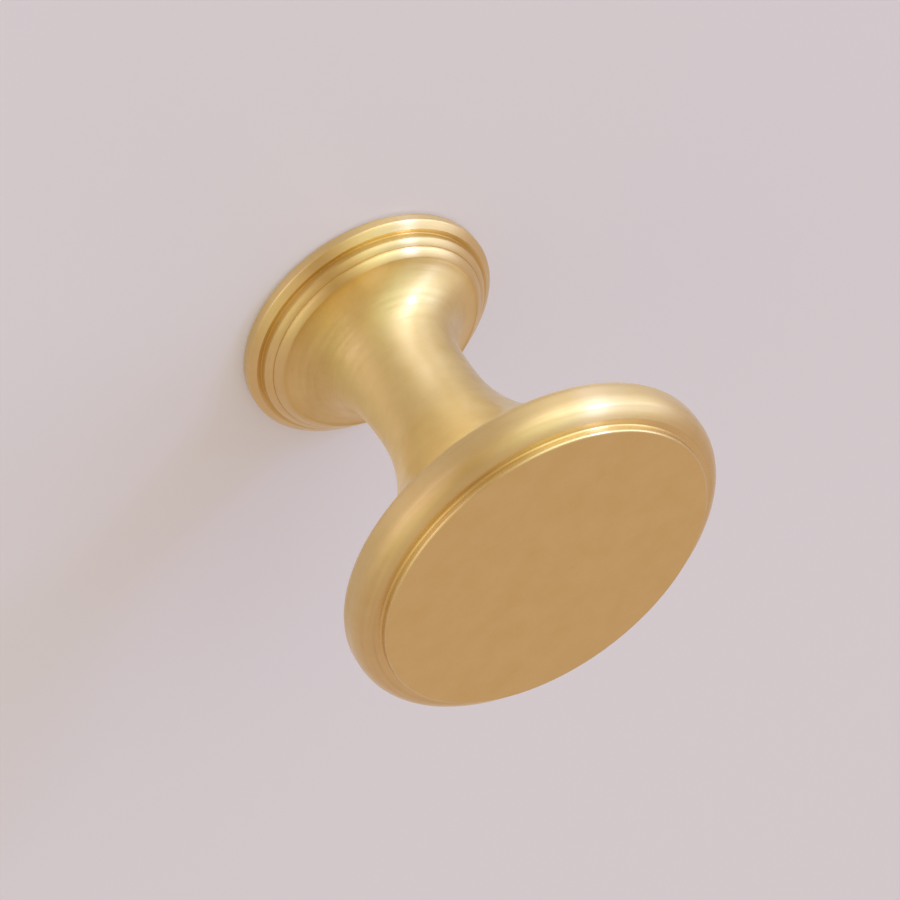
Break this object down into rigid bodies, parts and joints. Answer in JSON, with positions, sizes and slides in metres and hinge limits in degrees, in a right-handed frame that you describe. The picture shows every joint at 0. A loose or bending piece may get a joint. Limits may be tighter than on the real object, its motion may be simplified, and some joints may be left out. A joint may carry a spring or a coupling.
{
  "type": "cabinet knob",
  "caption": "Round cabinet knob turned in brass: a raised flat face on a broad round-edged head, a waisted neck and a stepped round base with a tapped hole in its back.",
  "frame": {"origin": "centre of the back mounting face, on the knob's axis", "axes": "+Z along the knob's axis, from the mounting face out to the flat face; X and Y are free, because the knob is round"},
  "size_m": [0.035, 0.035, 0.033],
  "materials": {
    "satin_brass": "fine satin brushing round the turned sides, fine matt blasting on the flat face"
  },
  "bodies": {
    "root": {"knob": "satin_brass"}
  },
  "joints": []
}
